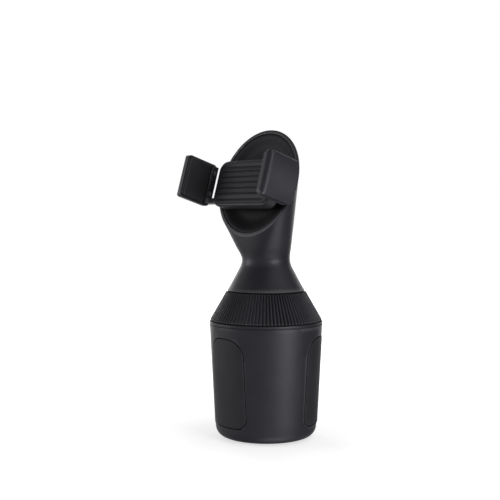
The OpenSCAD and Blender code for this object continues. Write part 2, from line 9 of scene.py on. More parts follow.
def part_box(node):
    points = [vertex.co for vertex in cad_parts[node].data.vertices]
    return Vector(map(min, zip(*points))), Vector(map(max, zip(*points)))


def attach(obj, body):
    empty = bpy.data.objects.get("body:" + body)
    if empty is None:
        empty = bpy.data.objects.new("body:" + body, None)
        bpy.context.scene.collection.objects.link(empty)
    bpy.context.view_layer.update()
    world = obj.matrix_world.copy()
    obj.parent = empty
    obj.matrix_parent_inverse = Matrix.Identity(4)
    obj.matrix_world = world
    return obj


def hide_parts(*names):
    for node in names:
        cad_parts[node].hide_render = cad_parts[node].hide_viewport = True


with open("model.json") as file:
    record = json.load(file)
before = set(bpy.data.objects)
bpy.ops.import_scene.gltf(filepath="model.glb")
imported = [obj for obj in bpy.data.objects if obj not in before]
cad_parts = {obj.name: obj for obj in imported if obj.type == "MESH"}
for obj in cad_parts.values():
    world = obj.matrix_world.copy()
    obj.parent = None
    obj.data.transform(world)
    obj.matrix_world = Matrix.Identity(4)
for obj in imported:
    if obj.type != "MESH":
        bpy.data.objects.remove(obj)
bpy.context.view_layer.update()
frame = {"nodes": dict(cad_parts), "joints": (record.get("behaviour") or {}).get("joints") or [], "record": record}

# ---- Driving sizes, in metres ----

MM = 0.001
JOINTS = {j["name"]: j for j in frame["joints"]}

# Base
CUP_LOW, CUP_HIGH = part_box("base_cup")
CUP_TAPER = 0.0535            # gain in radius for each unit of height
CUP_R0 = CUP_HIGH[0] - CUP_TAPER * CUP_HIGH[2]
CUP_WALL = 2.2 * MM
CUP_ROUND = 6 * MM
CUP_LIP = 0.3 * MM
GROOVE_Z = 64.6 * MM
GROOVE_DEPTH = 0.35 * MM
WINDOW_EDGE = 0.16 * MM
COVER_SEAT_R = 19.5 * MM      # inner edge of the base's floor, over the bottom cover
COVER_RECESS_R = 22.4 * MM
COVER_RECESS_Z = 2.4 * MM
FLOOR_TOP_Z = 4.2 * MM
FLOOR_FILLET = 2.4 * MM

# Grip pads
PAD_W = 26 * MM
PAD_Z0, PAD_Z1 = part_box("front_grip_pad")[0][2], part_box("front_grip_pad")[1][2]
PAD_ROUND_LOW = 6 * MM
PAD_ROUND_TOP = 10 * MM
PAD_PROUD = 0.25 * MM
PAD_SKIN = 0.85 * MM
PAD_GAP = 0.4 * MM
PAD_TRIM = 0.2 * MM
PAD_EDGE = 0.2 * MM
PAD_ANGLES = {"front": -91, "right": 29, "left": 149}

# Dial
DIAL_R0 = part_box("dial_grip")[1][0]
DIAL_R1 = 22.9 * MM
DIAL_Z0 = 66.9 * MM
DIAL_Z1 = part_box("dial_grip")[1][2]
DIAL_RIBS = 96
RIB_RISE = 0.9 * MM
RIB_FOOT = 0.055              # share of the dial's height over which a rib rises at its lower end
DIAL_BORE = 17.02 * MM
DIAL_RING_T = 3.3 * MM
DIAL_WALL = 2 * MM
DIAL_SKIRT_R = 29.3 * MM
DIAL_SKIRT_Z = 63.4 * MM

# Neck and head
NECK_Z0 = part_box("neck_shell")[0][2]
NECK_R = 22 * MM
WAIST_R = 13.7 * MM
WAIST_Z = 102 * MM
WAIST_BLEND_R = 11 * MM
CONE_LEAN = math.radians(28)  # of the lower cone, from upright
WAIST_LEAN = math.radians(9)  # where the blend round the waist hands over to the trumpet
NECK_WALL = 2 * MM
NECK_BORE = 12.05 * MM
NECK_BORE_Z1 = 96 * MM
HEAD_R = 31.5 * MM
HEAD_T = 1.2 * MM
HEAD_WALL = 2 * MM
RIM_SOFT = 0.8 * MM
RIM_DEPTH = 1.3 * MM
EAR_INNER = 8.7 * MM
EAR_OUTER = 11.5 * MM
EAR_R = 4.2 * MM
SLOT_HALF_H = 7.2 * MM
HEAD_CENTRE = Vector(JOINTS["cradle_spin"]["pos_m"])
HEAD_LEAN = math.asin(JOINTS["cradle_spin"]["axis"][2])
HEAD = Matrix.Translation(HEAD_CENTRE) @ Matrix.Rotation(-HEAD_LEAN, 4, "X")

# Jaws, in the head's own frame: x across, y back from the rim plane, z up
GRIP_W = 60 * MM
JAW_H = 25 * MM
JAW_MID_Z = -3 * MM
JAW_FRONT = -27.1 * MM
JAW_REAR = -5 * MM
LINER_T = 2.25 * MM
JAW_T = 4.35 * MM
JAW_FLARE = 2.5 * MM
JAW_BOW = 2.6 * MM
JAW_EDGE = 2.6 * MM
PLATE_Y = -9.6 * MM


def cup_radius(z):
    return CUP_R0 + CUP_TAPER * z


# ---- Materials ----

def plastic(name, colour, rough, grain=2600, bump=0.25, spread=0.35, edge_wear_and_highlight=0.0, shine=0.5):
    """A moulded plastic or rubber: fine grain, cloudy colour, paler edges for wear and, on the neck, a painted
    highlight, and gaps darkened by painted shade and made duller.
    """
    mat = bpy.data.materials.new(name)
    mat.use_nodes = True
    nodes, links = mat.node_tree.nodes, mat.node_tree.links
    shader = nodes["Principled BSDF"]
    shader.inputs["Specular Tint"].default_value = (0.93, 0.91, 1, 1)
    shader.inputs["Specular IOR Level"].default_value = shine
    place = nodes.new("ShaderNodeTexCoord")
    # Ambient occlusion: painted shade darkens the colour in gaps, creases and recesses, and the occlusion also
    # raises the roughness there.
    occlusion_shade = nodes.new("ShaderNodeAmbientOcclusion")
    occlusion_shade.samples = 8
    occlusion_shade.inputs["Distance"].default_value = 0.0016
    dull = nodes.new("ShaderNodeMapRange")
    dull.inputs["From Min"].default_value = 0.3
    dull.inputs["From Max"].default_value = 0.85
    dull.inputs["To Min"].default_value = 0.45
    dull.inputs["To Max"].default_value = 0
    links.new(occlusion_shade.outputs["AO"], dull.inputs["Value"])

    cloud = nodes.new("ShaderNodeTexNoise")
    cloud.inputs["Scale"].default_value = 90
    cloud.inputs["Detail"].default_value = 5
    links.new(place.outputs["Object"], cloud.inputs["Vector"])
    tint = nodes.new("ShaderNodeValToRGB")
    tint.color_ramp.elements[0].position = 0.3
    tint.color_ramp.elements[0].color = [c * (1 - spread) for c in colour] + [1]
    tint.color_ramp.elements[1].position = 0.7
    tint.color_ramp.elements[1].color = [c * (1 + spread) for c in colour] + [1]
    links.new(cloud.outputs["Fac"], tint.inputs["Fac"])
    paint = tint.outputs["Color"]

    # Sharp edges are made paler: edge wear, and with the neck's large amount a painted highlight along the head's
    # rim.
    if edge_wear_and_highlight:
        edge = nodes.new("ShaderNodeNewGeometry")
        pick = nodes.new("ShaderNodeValToRGB")
        pick.color_ramp.elements[0].position = 0.52
        pick.color_ramp.elements[1].position = 0.6
        links.new(edge.outputs["Pointiness"], pick.inputs["Fac"])
        pale_edge_mix = nodes.new("ShaderNodeMix")
        pale_edge_mix.data_type = "RGBA"
        pale_edge_mix.inputs["B"].default_value = [min(1, c + edge_wear_and_highlight) for c in colour] + [1]
        links.new(pick.outputs["Color"], pale_edge_mix.inputs["Factor"])
        links.new(paint, pale_edge_mix.inputs["A"])
        paint = pale_edge_mix.outputs["Result"]
    # Painted shade: the colour is multiplied by the occlusion, so it is darker in gaps, creases and recesses.
    dark = nodes.new("ShaderNodeMix")
    dark.data_type = "RGBA"
    dark.blend_type = "MULTIPLY"
    dark.inputs["Factor"].default_value = 1
    links.new(paint, dark.inputs["A"])
    links.new(occlusion_shade.outputs["AO"], dark.inputs["B"])
    links.new(dark.outputs["Result"], shader.inputs["Base Color"])

    speck = nodes.new("ShaderNodeTexNoise")
    speck.inputs["Scale"].default_value = grain
    speck.inputs["Detail"].default_value = 3
    links.new(place.outputs["Object"], speck.inputs["Vector"])
    gloss = nodes.new("ShaderNodeMapRange")
    gloss.inputs["From Min"].default_value = 0.3
    gloss.inputs["From Max"].default_value = 0.7
    gloss.inputs["To Min"].default_value = rough - 0.06
    gloss.inputs["To Max"].default_value = rough + 0.06
    links.new(speck.outputs["Fac"], gloss.inputs["Value"])
    rougher = nodes.new("ShaderNodeMath")
    rougher.operation = "ADD"
    links.new(gloss.outputs["Result"], rougher.inputs[0])
    links.new(dull.outputs["Result"], rougher.inputs[1])
    links.new(rougher.outputs["Value"], shader.inputs["Roughness"])
    relief = nodes.new("ShaderNodeBump")
    relief.inputs["Strength"].default_value = bump
    relief.inputs["Distance"].default_value = 0.00005
    links.new(speck.outputs["Fac"], relief.inputs["Height"])
    links.new(relief.outputs["Normal"], shader.inputs["Normal"])
    return mat


def metal(name, colour, rough, streak=(40, 40, 2200)):
    """A turned or rolled metal with fine streaks along one way."""
    mat = bpy.data.materials.new(name)
    mat.use_nodes = True
    nodes, links = mat.node_tree.nodes, mat.node_tree.links
    shader = nodes["Principled BSDF"]
    shader.inputs["Metallic"].default_value = 1
    place = nodes.new("ShaderNodeTexCoord")
    stretch = nodes.new("ShaderNodeMapping")
    stretch.inputs["Scale"].default_value = streak
    links.new(place.outputs["Object"], stretch.inputs["Vector"])
    lines = nodes.new("ShaderNodeTexNoise")
    lines.inputs["Scale"].default_value = 1
    lines.inputs["Detail"].default_value = 4
    links.new(stretch.outputs["Vector"], lines.inputs["Vector"])
    tint = nodes.new("ShaderNodeValToRGB")
    tint.color_ramp.elements[0].color = [c * 0.8 for c in colour] + [1]
    tint.color_ramp.elements[1].color = [min(1, c * 1.1) for c in colour] + [1]
    links.new(lines.outputs["Fac"], tint.inputs["Fac"])
    links.new(tint.outputs["Color"], shader.inputs["Base Color"])
    gloss = nodes.new("ShaderNodeMapRange")
    gloss.inputs["To Min"].default_value = rough - 0.08
    gloss.inputs["To Max"].default_value = rough + 0.12
    links.new(lines.outputs["Fac"], gloss.inputs["Value"])
    links.new(gloss.outputs["Result"], shader.inputs["Roughness"])
    relief = nodes.new("ShaderNodeBump")
    relief.inputs["Strength"].default_value = 0.2
    relief.inputs["Distance"].default_value = 0.00003
    links.new(lines.outputs["Fac"], relief.inputs["Height"])
    links.new(relief.outputs["Normal"], shader.inputs["Normal"])
    return mat


MATERIALS = {
    "cup_plastic": plastic("cup_plastic", (0.0122, 0.0116, 0.0157), 0.46, spread=0.22, edge_wear_and_highlight=0.03),
    "cover_plastic": plastic("cover_plastic", (0.008, 0.008, 0.009), 0.5),
    # The neck's large edge amount is a painted highlight along the head's rim edge, on top of its wear.
    "neck_plastic": plastic("neck_plastic", (0.0125, 0.0119, 0.016), 0.45, spread=0.25, edge_wear_and_highlight=0.12),
    "dial_plastic": plastic("dial_plastic", (0.0135, 0.0129, 0.0172), 0.38, edge_wear_and_highlight=0.015),
    # The dish's colour, far darker than the other black plastics, is painted shade for the shaded recess behind
    # the cradle.
    "dish_plastic": plastic("dish_plastic", (0.0035, 0.0034, 0.0042), 0.55, shine=0.22),
    "cradle_plastic": plastic("cradle_plastic", (0.009, 0.009, 0.010), 0.48, edge_wear_and_highlight=0.02),
    "jaw_plastic": plastic("jaw_plastic", (0.0152, 0.0144, 0.0194), 0.47, spread=0.25, edge_wear_and_highlight=0.07),
    "inner_plastic": plastic("inner_plastic", (0.02, 0.02, 0.022), 0.5),
    "gear_plastic": plastic("gear_plastic", (0.62, 0.6, 0.54), 0.4, spread=0.06),
    "pad_rubber": plastic("pad_rubber", (0.0098, 0.0094, 0.0122), 0.6, grain=3600, bump=0.5, edge_wear_and_highlight=0.02),
    "liner_rubber": plastic("liner_rubber", (0.007, 0.007, 0.0075), 0.62, grain=3600, bump=0.5, edge_wear_and_highlight=0.02),
    "steel": metal("steel", (0.6, 0.61, 0.63), 0.3),
    "dark_steel": metal("dark_steel", (0.08, 0.08, 0.085), 0.4),
    "rack_metal": metal("rack_metal", (0.3, 0.31, 0.33), 0.38, streak=(40, 2200, 2200)),
    "scroll_metal": metal("scroll_metal", (0.55, 0.56, 0.58), 0.34),
    "washer_brass": metal("washer_brass", (0.7, 0.52, 0.24), 0.32),
}


# ---- Mesh helpers ----

def piece(name, verts, faces, body, slot, replaced):
    """Makes a piece from its points and faces, smooth but for its sharp edges, in place of CAD nodes."""
    mesh = bpy.data.meshes.new(name)
    mesh.from_pydata(verts, [], faces)
    mesh.validate()
    bm = bmesh.new()
    bm.from_mesh(mesh)
    bmesh.ops.remove_doubles(bm, verts=bm.verts, dist=1e-7)
    bmesh.ops.recalc_face_normals(bm, faces=bm.faces)
    bm.to_mesh(mesh)
    bm.free()
    obj = bpy.data.objects.new(name, mesh)
    bpy.context.scene.collection.objects.link(obj)
    return dress(obj, body, slot, replaced)


def dress(obj, body, slot, replaced):
    """Shades a piece, gives it its slot's material, and puts it on its body."""
    obj.data.shade_smooth()
    obj.data.set_sharp_from_angle(angle=math.radians(35))
    obj.data.materials.clear()
    obj.data.materials.append(MATERIALS[slot])
    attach(obj, body)
    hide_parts(*replaced)
    return obj


def lathe(profile, segments):
    """Points and faces of a closed outline of (radius, height) pairs turned about Z."""
    verts, faces = [], []
    count = len(profile)
    for i in range(segments):
        a = 2 * math.pi * i / segments
        verts += [(r * math.cos(a), r * math.sin(a), z) for r, z in profile]
    for i in range(segments):
        j = (i + 1) % segments
        for k in range(count):
            m = (k + 1) % count
            faces.append((i * count + k, j * count + k, j * count + m, i * count + m))
    return verts, faces


def cutter(verts, faces):
    """A closed solid for a boolean, which is removed once it has been used."""
    mesh = bpy.data.meshes.new("cutter")
    mesh.from_pydata(verts, [], faces)
    bm = bmesh.new()
    bm.from_mesh(mesh)
    bmesh.ops.recalc_face_normals(bm, faces=bm.faces)
    bm.to_mesh(mesh)
    bm.free()
    obj = bpy.data.objects.new("cutter", mesh)
    bpy.context.scene.collection.objects.link(obj)
    return obj


def apply_modifiers(obj):
    """Turns an object's modifiers into its mesh."""
    graph = bpy.context.evaluated_depsgraph_get()
    mesh = bpy.data.meshes.new_from_object(obj.evaluated_get(graph))
    obj.modifiers.clear()
    obj.data = mesh


def combine(obj, tools):
    """Joins or cuts a piece with each (operation, solid) pair, and removes the solids."""
    for operation, tool in tools:
        step = obj.modifiers.new("combine", "BOOLEAN")
        step.operation = operation
        step.solver = "EXACT"
        step.object = tool
    apply_modifiers(obj)
    for _, tool in tools:
        bpy.data.objects.remove(tool)


def arc(cx, cy, r, a0, a1, steps):
    """Points along an arc, angles in degrees."""
    return [(cx + r * math.cos(math.radians(a0 + (a1 - a0) * i / steps)),
             cy + r * math.sin(math.radians(a0 + (a1 - a0) * i / steps))) for i in range(steps + 1)]


def side_steps(radius, half, edge, corner_steps, middle_steps, edge_steps=5):
    """Distances in from one side of a slab to its middle: close together over the rounded edge."""
    out = [edge * (1 - math.cos(math.pi / 2 * k / edge_steps)) for k in range(edge_steps + 1)]
    out += [edge + (radius - edge) * k / corner_steps for k in range(1, corner_steps + 1)]
    out += [radius + (half - radius) * k / middle_steps for k in range(1, middle_steps + 1)]
    return out


def slab(u0, u1, v0, v1, r_low, r_high, edge, top, under, corner_steps=4, u_steps=6, v_steps=10):
    """Points and faces of a rounded slab: a rectangle with one corner radius at v0 and one at v1.

    top(u, v, drop) and under(u, v) place its two faces; drop is how far the rounded edge falls there."""
    half_u = (u1 - u0) / 2
    half_v = (v1 - v0) / 2
    last = len(side_steps(r_low, half_u, edge, corner_steps, u_steps)) - 1
    last_v = len(side_steps(r_low, half_v, edge, corner_steps, v_steps)) - 1
    patch = last - u_steps
    rows = []
    for j in range(2 * last_v + 1):
        low = j <= last_v
        jj = j if low else 2 * last_v - j
        r_here = r_low if low else r_high
        dv = side_steps(r_here, half_v, edge, corner_steps, v_steps)[jj]
        v = v0 + dv if low else v1 - dv
        span = min(max((v - v0 - r_low) / (v1 - v0 - r_low - r_high), 0), 1)
        r_row = r_low + (r_high - r_low) * span
        row = []
        for i in range(2 * last + 1):
            left = i <= last
            ii = i if left else 2 * last - i
            du = side_steps(r_row, half_u, edge, corner_steps, u_steps)[ii]
            inside = min(du, dv)
            pu, pv = half_u - du, dv
            v_here = v
            if ii <= patch and jj <= patch:
                fu, fv = (r_here - du) / r_here, (r_here - dv) / r_here
                reach = math.hypot(fu, fv)
                if reach > 0:
                    scale = max(fu, fv) / reach
                    pu = half_u - r_here + r_here * fu * scale
                    pv = r_here - r_here * fv * scale
                    v_here = v0 + pv if low else v1 - pv
            u = (u0 + u1) / 2 + (-pu if left else pu)
            drop = 0.0
            if inside < edge:
                drop = edge - math.sqrt(max(edge ** 2 - (edge - inside) ** 2, 0))
            row.append((u, v_here, drop))
        rows.append(row)

    wide, high = 2 * last + 1, 2 * last_v + 1
    verts = [top(*p) for row in rows for p in row] + [under(p[0], p[1]) for row in rows for p in row]
    below = wide * high
    faces = []
    for j in range(high - 1):
        for i in range(wide - 1):
            a = j * wide + i
            faces.append((a, a + 1, a + 1 + wide, a + wide))
            faces.append((below + a, below + a + wide, below + a + 1 + wide, below + a + 1))
    rim = list(range(wide)) + [j * wide + wide - 1 for j in range(1, high)]
    rim += [(high - 1) * wide + i for i in range(wide - 2, -1, -1)]
    rim += [j * wide for j in range(high - 2, 0, -1)]
    for a, b in zip(rim, rim[1:] + rim[:1]):
        faces.append((a, b, below + b, below + a))
    return verts, faces


# ---- Base ----

def pad_point(angle, across, z, rise):
    """A point on the cup's cone, moved straight out or in, in the upright plane that faces angle."""
    a = math.radians(angle)
    out = math.sqrt((cup_radius(z) + rise) ** 2 - across ** 2)
    return (out * math.cos(a) - across * math.sin(a), out * math.sin(a) + across * math.cos(a), z)


def window_cutter(angle):
    """A prism through the cup's wall, a little larger than a grip pad."""
    def at(out):
        a = math.radians(angle)
        return lambda u, v, drop=0: (out * math.cos(a) - u * math.sin(a),
                                     out * math.sin(a) + u * math.cos(a), v)
    g = PAD_GAP
    verts, faces = slab(-PAD_W / 2 - g, PAD_W / 2 + g, PAD_Z0 - g, PAD_Z1 + g, PAD_ROUND_LOW + g,
                        PAD_ROUND_TOP + g, 0.5 * MM, at(DIAL_R0 + 6 * MM), at(20 * MM),
                        corner_steps=10, u_steps=1, v_steps=1)
    return cutter(verts, faces)


def make_cup():
    top_z = CUP_HIGH[2]
    low_z = CUP_LOW[2]
    profile = arc(cup_radius(low_z) - CUP_ROUND, low_z + CUP_ROUND, CUP_ROUND, -90, 0, 14)
    steps = 24
    z_from = low_z + CUP_ROUND
    z_to = GROOVE_Z - 0.15 * MM
    heights = [z_from + (z_to - z_from) * i / steps for i in range(1, steps + 1)]
    profile += [(cup_radius(z), z) for z in heights]
    groove_r = cup_radius(GROOVE_Z) - GROOVE_DEPTH
    profile += [(groove_r, GROOVE_Z), (groove_r, GROOVE_Z + 0.3 * MM),
                (cup_radius(GROOVE_Z), GROOVE_Z + 0.45 * MM)]
    profile += arc(cup_radius(top_z) - CUP_LIP, top_z - CUP_LIP, CUP_LIP, 0, 90, 4)
    profile += [(cup_radius(top_z) - CUP_WALL, top_z)]
    profile += [(cup_radius(z) - CUP_WALL, z) for z in (50 * MM, 35 * MM, 20 * MM, 8.2 * MM)]
    profile += [(cup_radius(4 * MM) - CUP_WALL - FLOOR_FILLET, FLOOR_TOP_Z),
                (COVER_SEAT_R, FLOOR_TOP_Z), (COVER_SEAT_R, COVER_RECESS_Z),
                (COVER_RECESS_R, COVER_RECESS_Z), (COVER_RECESS_R, low_z)]
    cup = piece("cup_shell", *lathe(profile, 192), "base", "cup_plastic", ["base_cup"])
    combine(cup, [("DIFFERENCE", window_cutter(a)) for a in PAD_ANGLES.values()])
    bevel = cup.modifiers.new("edges", "BEVEL")
    bevel.width = WINDOW_EDGE
    bevel.segments = 3
    bevel.limit_method = "ANGLE"
    bevel.angle_limit = math.radians(50)
    apply_modifiers(cup)
    cup.data.shade_smooth()
    cup.data.set_sharp_from_angle(angle=math.radians(40))


def make_grip_pad(side, angle):
    half = PAD_W / 2 - PAD_TRIM
    verts, faces = slab(
        -half, half, PAD_Z0 + PAD_TRIM, PAD_Z1 - PAD_TRIM, PAD_ROUND_LOW - PAD_TRIM,
        PAD_ROUND_TOP - PAD_TRIM, PAD_EDGE,
        lambda u, v, drop: pad_point(angle, u, v, PAD_PROUD - drop),
        lambda u, v: pad_point(angle, u, v, PAD_PROUD - PAD_SKIN), u_steps=8, v_steps=14)
    piece(side + "_pad_skin", verts, faces, side + "_pad", "pad_rubber", [side + "_grip_pad"])


# ---- Dial ----

def rib_rise(turn, t):
    """How far the dial's skin stands out: turn runs 0 to 1 over one rib, and t 0 to 1 up the dial."""
    off = 2 * min(turn, 1 - turn)
    crest = (1 - off ** 2.4) ** 0.8
    foot = min(t / RIB_FOOT, 1)
    foot = math.sqrt(max(1 - (1 - foot) ** 2, 0))
    return RIB_RISE * crest * foot


def make_dial():
    per_rib = 12
    around = DIAL_RIBS * per_rib
    rows, last = 14, 0.98
    stations = [0.0, 0.008, 0.02, 0.035, RIB_FOOT]
    stations += [RIB_FOOT + (last - RIB_FOOT) * i / rows for i in range(1, rows + 1)] + [0.992, 1.0]
    rings = []
    height = DIAL_Z1 - DIAL_Z0
    for t in stations:
        r_out = DIAL_R0 + (DIAL_R1 - DIAL_R0) * t
        ring = []
        for i in range(around):
            a = 2 * math.pi * i / around
            r = r_out - RIB_RISE + rib_rise(i / per_rib % 1, t)
            ring.append((r * math.cos(a), r * math.sin(a), DIAL_Z0 + height * t))
        rings.append(ring)

    def circle(r, z):
        return [(r * math.cos(2 * math.pi * i / around), r * math.sin(2 * math.pi * i / around), z)
                for i in range(around)]
    inside = DIAL_SKIRT_R - DIAL_WALL
    rings += [circle(DIAL_BORE, DIAL_Z1), circle(DIAL_BORE, DIAL_Z1 - DIAL_RING_T),
              circle(inside, DIAL_Z0 + 1.2 * MM), circle(inside, DIAL_SKIRT_Z),
              circle(DIAL_SKIRT_R, DIAL_SKIRT_Z), circle(DIAL_SKIRT_R, DIAL_Z0 - 0.05 * MM),
              circle(DIAL_R0 - RIB_RISE - 0.5 * MM, DIAL_Z0 - 0.02 * MM)]
    verts = [p for ring in rings for p in ring]
    faces = []
    for k in range(len(rings)):
        m = (k + 1) % len(rings)
        for i in range(around):
            j = (i + 1) % around
            faces.append((k * around + i, k * around + j, m * around + j, m * around + i))
    piece("ribbed_dial", verts, faces, "dial", "dial_plastic", ["dial_grip"])


# ---- Neck and head ----

def rim_point(beta, r, y):
    return HEAD @ Vector((r * math.cos(beta), y, r * math.sin(beta)))


def rim_depth(beta):
    """How far behind the rim plane the neck meets the head: at the rim below, at the head's back above."""
    up = min(max((math.sin(beta) + 0.75) / 1.1, 0), 1)
    return HEAD_T * up * up * (3 - 2 * up)


def neck_ways(count):
    """Pairs of angles, on the waist and on the head's edge, whose lines wrap the neck like a taut skin."""
    fine = 1440
    turns = [2 * math.pi * i / fine - math.pi / 2 for i in range(fine)]
    edge = [rim_point(b, HEAD_R, rim_depth(b)) for b in turns]
    pairs = []
    for i in range(fine // 2 + 1):
        alpha = turns[i]
        out = Vector((math.cos(alpha), math.sin(alpha), 0))
        start = WAIST_R * out + Vector((0, 0, WAIST_Z))
        best = max(range(fine // 2 + 1),
                   key=lambda k: math.atan2((edge[k] - start).dot(out), edge[k][2] - start[2]))
        pairs.append((alpha, max(turns[best], pairs[-1][1] if pairs else -math.pi / 2)))
    pairs[0] = (-math.pi / 2, -math.pi / 2)
    pairs[-1] = (math.pi / 2, math.pi / 2)
    for _ in range(60):
        beta = [b for _, b in pairs]
        inner = [(beta[k - 1] + beta[k] + beta[k + 1]) / 3 for k in range(1, len(beta) - 1)]
        beta = [beta[0]] + inner + [beta[-1]]
        pairs = [(a, b) for (a, _), b in zip(pairs, beta)]
    half = []
    k = 0
    for i in range(count // 2 + 1):
        goal = -math.pi + 2 * math.pi * i / (count // 2)
        while k < len(pairs) - 2 and sum(pairs[k + 1]) < goal:
            k += 1
        low, high = sum(pairs[k]), sum(pairs[k + 1])
        t = min(max((goal - low) / max(high - low, 1e-9), 0), 1)
        half.append(tuple(pairs[k][n] + (pairs[k + 1][n] - pairs[k][n]) * t for n in (0, 1)))
    other = [(math.pi - a, math.pi - b) for a, b in half[-2:0:-1]]
    return half + other


def bezier(p0, p1, p2, p3, t):
    s = 1 - t
    return s ** 3 * p0 + 3 * s * s * t * p1 + 3 * s * t * t * p2 + t ** 3 * p3


def make_neck():
    """The cone, the waist and the trumpet that ends in the head's thin rim, as one closed skin."""
    blend_r, lean, stop = WAIST_BLEND_R, CONE_LEAN, WAIST_LEAN
    axis_r = WAIST_R + blend_r
    knee = (axis_r - blend_r * math.cos(lean), WAIST_Z - blend_r * math.sin(lean))
    columns = []
    for alpha, beta in neck_ways(240):
        out = Vector((math.cos(alpha), math.sin(alpha), 0))
        up = Vector((0, 0, 1))

        def at(r, z):
            return r * out + z * up
        column = [at(NECK_R - 0.5 * MM, NECK_Z0), at(NECK_R - 0.15 * MM, NECK_Z0 + 0.12 * MM),
                  at(NECK_R - 0.02 * MM, NECK_Z0 + 0.45 * MM)]
        for i in range(1, 5):
            t = i / 5
            column.append(at(NECK_R + (knee[0] - NECK_R) * t, NECK_Z0 + (knee[1] - NECK_Z0) * t))
        for i in range(7):
            a = lean + (stop - lean) * i / 6
            column.append(at(axis_r - blend_r * math.cos(a), WAIST_Z - blend_r * math.sin(a)))
        here = column[-1]
        waist = at(WAIST_R, WAIST_Z)
        back = rim_point(beta, HEAD_R, rim_depth(beta))
        way = (back - waist).normalized()
        there = waist + 8 * MM * way
        reach = (there - here).length / 3
        slope = -math.sin(stop) * out + math.cos(stop) * up
        curve = (here, here + reach * slope, there - reach * way, there)
        column += [bezier(*curve, i / 10) for i in range(1, 11)]

        depth = rim_depth(beta)
        start = 1.2 * MM
        last = back - start * way
        column += [there + (last - there) * i / 12 for i in range(1, 13)]

        def rim_path(s):
            """The neck's skin, the head's thin edge and its flat front, as one line with two corners."""
            if s < 0:
                return back + s * way
            return rim_point(beta, HEAD_R - max(s - depth, 0), depth - min(s, depth))
        end = depth + HEAD_WALL - 0.35 * MM
        for i in range(1, 25):
            s = -start + (start + end) * i / 24
            near = [rim_path(s + RIM_SOFT * (k / 8 - 0.5)) for k in range(9)]
            column.append(sum(near, Vector()) / 9)
        inside = HEAD_R - HEAD_WALL
        column += [rim_point(beta, inside + 0.1 * MM, 0.1 * MM), rim_point(beta, inside, 0.35 * MM),
                   rim_point(beta, inside, RIM_DEPTH)]
        inner_rim = rim_point(beta, inside - 0.3 * MM, RIM_DEPTH)
        inner_waist = at(WAIST_R - NECK_WALL, WAIST_Z + 1 * MM)
        column += [inner_rim + (inner_waist - inner_rim) * t for t in (0, 0.3, 0.6, 1)]
        column += [at(WAIST_R - NECK_WALL, NECK_BORE_Z1), at(NECK_BORE, NECK_BORE_Z1), at(NECK_BORE, NECK_Z0)]
        columns.append(column)
    rows = len(columns[0])
    verts = [p for column in columns for p in column]
    faces = []
    for i in range(len(columns)):
        j = (i + 1) % len(columns)
        for k in range(rows):
            m = (k + 1) % rows
            faces.append((i * rows + k, j * rows + k, j * rows + m, i * rows + m))
    piece("neck_and_head_shell", verts, faces, "base", "neck_plastic", ["neck_shell"])


def local_slab(name, body, slot_name, replaced, place, **sizes):
    """A rounded slab made in the head's frame."""
    verts, faces = slab(**sizes)
    piece(name, [place @ Vector(p) for p in verts], faces, body, slot_name, replaced)


def make_dish():
    """The shallow bowl behind the cradle, with the slot and the two ears that hold the tilt pin."""
    outline = [(r * MM, y * MM) for r, y in (
        (0.2, 2.8), (12, 2.8), (19.2, 2.8), (20.4, 2.76), (21.6, 2.6), (22.8, 2.32), (24, 1.93), (25.2, 1.43),
        (26.4, 0.93), (27.4, 0.58), (28.2, 0.43), (28.9, 0.4), (29.25, 0.43), (29.4, 0.58),
        (29.4, 1.15), (28.6, 1.3), (27.2, 1.85), (25.5, 2.6), (23, 3.5), (20.5, 4.0), (12, 4.0), (0.2, 4.0))]
    verts, faces = lathe(outline, 128)
    verts = [(x, z, y) for x, y, z in verts]
    dish = piece("head_bowl", [HEAD @ Vector(p) for p in verts], faces, "base", "dish_plastic", ["head_dish"])
    tilt_y = (HEAD.inverted() @ Vector(JOINTS["head_tilt"]["pos_m"]))[1]
    sides = 48
    disc = [(tilt_y + EAR_R * math.cos(a), EAR_R * math.sin(a))
            for a in (2 * math.pi * i / sides for i in range(sides))]
    disc_faces = [tuple(range(sides)), tuple(range(2 * sides - 1, sides - 1, -1))]
    disc_faces += [(i, (i + 1) % sides, sides + (i + 1) % sides, sides + i) for i in range(sides)]
    tools = []
    for side in (-1, 1):
        ear = [HEAD @ Vector((side * x, y, z)) for x in (EAR_INNER - 1 * MM, EAR_OUTER) for y, z in disc]
        tools.append(("UNION", cutter(ear, disc_faces)))
    slot = [HEAD @ Vector((sx * EAR_INNER, y, sz * SLOT_HALF_H))
            for sx in (-1, 1) for y in (-5 * MM, 20 * MM) for sz in (-1, 1)]
    slot_faces = [(0, 1, 3, 2), (4, 6, 7, 5), (0, 4, 5, 1), (2, 3, 7, 6), (0, 2, 6, 4), (1, 5, 7, 3)]
    tools.append(("DIFFERENCE", cutter(slot, slot_faces)))
    combine(dish, tools)
    soften(dish, 0.2 * MM)
    dish.data.materials.clear()
    dish.data.materials.append(MATERIALS["dish_plastic"])


def soften(obj, width, angle=40):
    """Rounds a piece's sharp edges."""
    bevel = obj.modifiers.new("edges", "BEVEL")
    bevel.width = width
    bevel.segments = 3
    bevel.limit_method = "ANGLE"
    bevel.angle_limit = math.radians(angle)
    apply_modifiers(obj)
    obj.data.shade_smooth()
    obj.data.set_sharp_from_angle(angle=math.radians(angle))


# ---- Cradle and jaws ----

